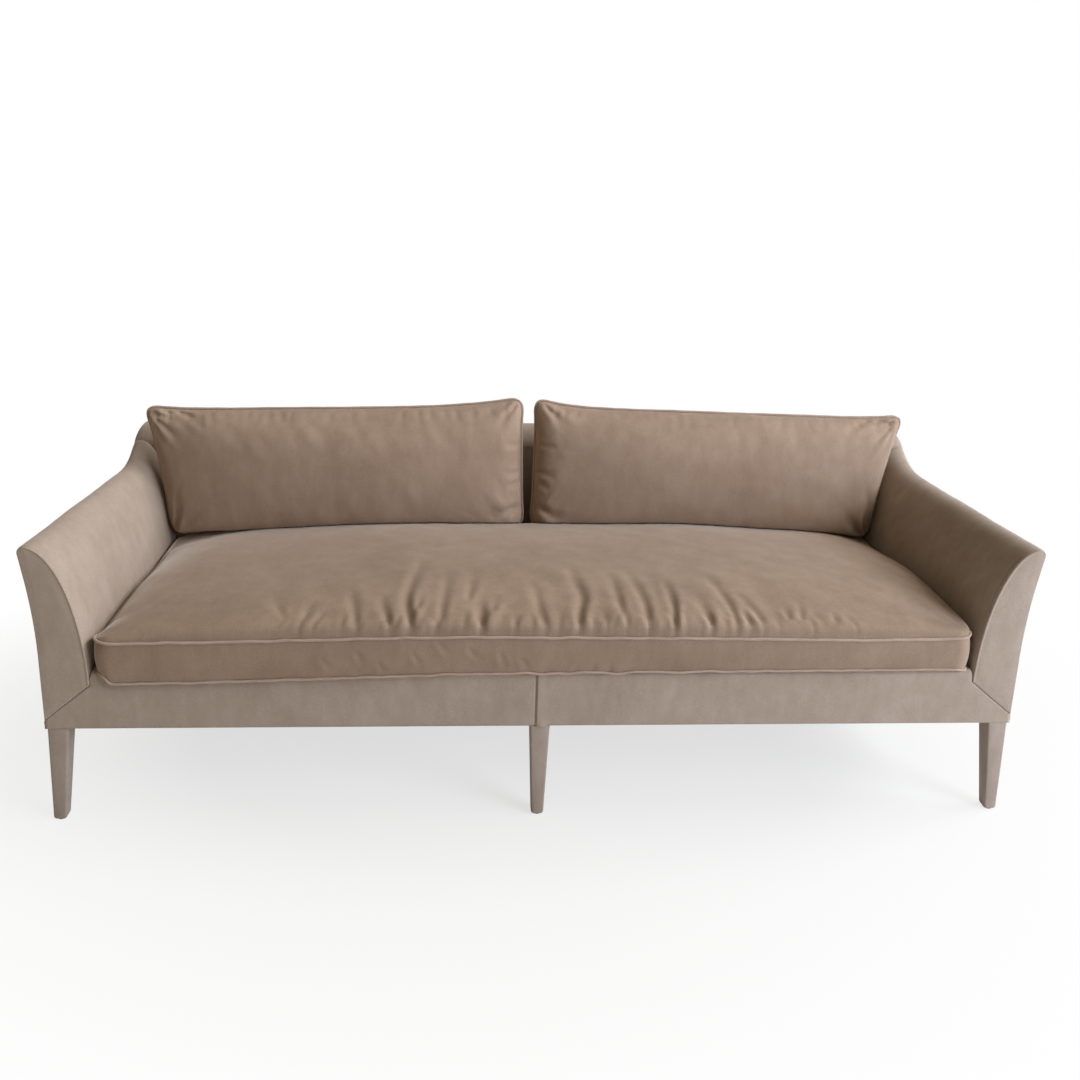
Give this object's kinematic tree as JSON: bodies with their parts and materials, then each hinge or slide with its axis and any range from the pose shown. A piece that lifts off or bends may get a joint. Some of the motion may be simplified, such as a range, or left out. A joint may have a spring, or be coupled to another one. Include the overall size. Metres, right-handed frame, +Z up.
{
  "type": "sofa",
  "caption": "Low upholstered velvet sofa with flared arms, a crowned bench seat cushion, loose piped back cushions that lift off, and tapered cloth-covered legs on a hardwood frame.",
  "frame": {"origin": "on the floor, under the middle of the sofa's overall box", "axes": "+X along the sofa to the right of a viewer who faces it, -Y towards that viewer, +Z up"},
  "size_m": [2.2, 0.86, 0.8192],
  "materials": {
    "upholstery_velvet": "short-pile taupe velvet drawn over wadding",
    "cushion_velvet": "short-pile taupe velvet cover on a soft filling",
    "leg_velvet": "taupe velvet glued round a solid wooden leg",
    "beech": "planed, unfinished",
    "elastic_webbing": "woven rubber-cored webbing",
    "platform_cloth": "plain platform cloth over felt",
    "dust_cambric": "spun-bonded black dust cloth",
    "plated_steel": "zinc plated",
    "black_nylon": "moulded nylon"
  },
  "bodies": {
    "frame": {"back_centre_stile": "beech", "back_seat_rail": "beech", "back_top_rail": "beech", "back_tuck_rail": "beech", "dust_cover": "dust_cambric", "front_left_corner_block": "beech", "front_left_glide": "black_nylon", "front_left_leg": "leg_velvet", "front_left_leg_bolt": "plated_steel", "front_middle_glide": "black_nylon", "front_middle_leg": "leg_velvet", "front_middle_leg_bolt": "plated_steel", "front_rail_cover": "upholstery_velvet", "front_right_corner_block": "beech", "front_right_glide": "black_nylon", "front_right_leg": "leg_velvet", "front_right_leg_bolt": "plated_steel", "front_seat_rail": "beech", "inside_back": "upholstery_velvet", "left_arm_facing": "upholstery_velvet", "left_arm_stump": "beech", "left_arm_top_rail": "beech", "left_arm_tuck_rail": "beech", "left_back_post": "beech", "left_inside_arm": "upholstery_velvet", "left_outside_arm": "upholstery_velvet", "left_seat_rail": "beech", "outside_back": "upholstery_velvet", "rear_left_corner_block": "beech", "rear_left_glide": "black_nylon", "rear_left_leg": "leg_velvet", "rear_left_leg_bolt": "plated_steel", "rear_middle_glide": "black_nylon", "rear_middle_leg": "leg_velvet", "rear_middle_leg_bolt": "plated_steel", "rear_right_corner_block": "beech", "rear_right_glide": "black_nylon", "rear_right_leg": "leg_velvet", "rear_right_leg_bolt": "plated_steel", "right_arm_facing": "upholstery_velvet", "right_arm_stump": "beech", "right_arm_top_rail": "beech", "right_arm_tuck_rail": "beech", "right_back_post": "beech", "right_inside_arm": "upholstery_velvet", "right_outside_arm": "upholstery_velvet", "right_seat_rail": "beech", "seat_centre_brace": "beech", "seat_deck": "platform_cloth", "webbing_strap_1": "elastic_webbing", "webbing_strap_2": "elastic_webbing", "webbing_strap_3": "elastic_webbing", "webbing_strap_4": "elastic_webbing", "webbing_strap_5": "elastic_webbing", "webbing_strap_6": "elastic_webbing", "webbing_strap_7": "elastic_webbing", "webbing_strap_8": "elastic_webbing"},
    "seat_cushion": {"seat_cushion": "cushion_velvet"},
    "left_back_cushion": {"left_back_cushion": "cushion_velvet"},
    "right_back_cushion": {"right_back_cushion": "cushion_velvet"}
  },
  "joints": [
    {"name": "seat_cushion_lift", "type": "slide", "parent": "frame", "child": "seat_cushion", "axis": [0, 0, 1], "range_m": [0, 0.4]},
    {"name": "left_back_cushion_lift", "type": "slide", "parent": "seat_cushion", "child": "left_back_cushion", "axis": [0, 0, 1], "range_m": [0, 0.36]},
    {"name": "right_back_cushion_lift", "type": "slide", "parent": "seat_cushion", "child": "right_back_cushion", "axis": [0, 0, 1], "range_m": [0, 0.36]}
  ]
}
